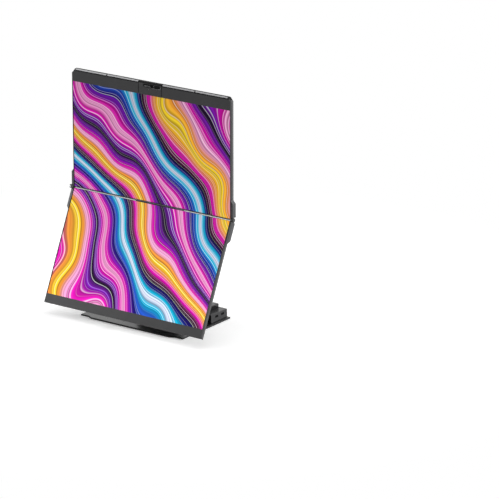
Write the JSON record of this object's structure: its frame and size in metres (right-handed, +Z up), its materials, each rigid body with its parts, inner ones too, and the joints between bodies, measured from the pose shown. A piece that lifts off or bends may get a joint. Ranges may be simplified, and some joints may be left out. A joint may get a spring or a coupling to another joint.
{
  "type": "stacked dual-screen monitor",
  "caption": "Monitor with one wide screen hinged below another, on a lift column that turns on a flat base with a port hub behind; webcam with sliding shutter and a power button.",
  "frame": {"origin": "on the desk, at the swivel axis of the column", "axes": "+Z up along the column, the screens face -Y, +X to the right as the user sees it"},
  "size_m": [0.5633, 0.2671, 0.6768],
  "materials": {
    "dark_plastic": "satin, fine texture",
    "gloss_black": "gloss",
    "dark_paint": "satin paint",
    "strip_grey": "satin, finely perforated",
    "screen_glass": "gloss",
    "clear_acrylic": "gloss",
    "steel": "bare",
    "bright_steel": "polished",
    "aluminium": "machined",
    "bronze": "machined",
    "slip_plastic": "smooth",
    "rubber": "matte",
    "circuit_green": "solder mask",
    "socket_steel": "bare",
    "socket_black": "moulded"
  },
  "bodies": {
    "base": {"base_plate": "dark_paint", "base_pads": "rubber", "plinth": "dark_paint", "plinth_bolts": "steel", "swivel_spindle": "steel", "swivel_washer": "slip_plastic", "swivel_nut": "steel", "hub_shell": "dark_plastic", "hub_blocks": "gloss_black", "hub_screws": "steel", "hub_board": "circuit_green", "hub_standoffs": "steel", "ethernet_jack": "socket_steel", "hdmi_sockets": "socket_steel", "usb_c_sockets": "socket_steel", "usb_a_sockets": "socket_steel", "power_and_audio_jacks": "socket_black", "card_reader": "socket_steel"},
    "column": {"column_shell": "dark_paint", "column_foot": "aluminium", "column_cap": "dark_plastic", "column_screws": "steel", "guide_rods": "bright_steel", "gas_cylinder": "dark_paint"},
    "upper_screen": {"carriage": "aluminium", "carriage_bushes": "bronze", "gas_rod": "bright_steel", "mount_plate": "dark_paint", "carriage_bolts": "steel", "mount_screws": "steel", "upper_cover": "dark_plastic", "upper_cover_screws": "steel", "upper_bezel": "dark_plastic", "upper_lcd": "screen_glass", "upper_light_guide": "clear_acrylic", "upper_tray": "steel", "upper_chassis": "steel", "upper_board": "circuit_green", "ridge_caps": "dark_plastic", "vent_strips": "strip_grey", "webcam_housing": "dark_plastic", "webcam_lens": "gloss_black", "webcam_board": "circuit_green", "speakers": "socket_black", "hinge_rod": "bright_steel", "hinge_caps": "dark_plastic", "hinge_washers": "bronze", "upper_leaves": "dark_paint"},
    "shutter": {"webcam_shutter": "gloss_black"},
    "lower_screen": {"lower_cover": "dark_plastic", "lower_bezel": "dark_plastic", "lower_lcd": "screen_glass", "lower_light_guide": "clear_acrylic", "lower_tray": "steel", "lower_board": "circuit_green", "lower_usb_sockets": "socket_steel", "control_housing": "dark_plastic", "power_switch": "socket_black", "lower_leaves": "dark_paint"},
    "button": {"power_button": "gloss_black"}
  },
  "joints": [
    {"name": "swivel", "type": "hinge", "parent": "base", "child": "column", "pos_m": [0, 0, 0], "axis": [0, 0, 1], "range_deg": [-30, 30]},
    {"name": "lift", "type": "slide", "parent": "column", "child": "upper_screen", "axis": [0, 0, 1], "range_m": [0, 0.1]},
    {"name": "fold", "type": "hinge", "parent": "upper_screen", "child": "lower_screen", "pos_m": [0, -0.0377, 0.3346], "axis": [-1, 0, 0], "range_deg": [-10, 55]},
    {"name": "shutter_slide", "type": "slide", "parent": "upper_screen", "child": "shutter", "axis": [1, 0, 0], "range_m": [0, 0.0296]},
    {"name": "button_press", "type": "slide", "parent": "lower_screen", "child": "button", "axis": [0, 0, 1], "range_m": [0, 0.0008], "stiffness_N_per_m": 1500}
  ]
}
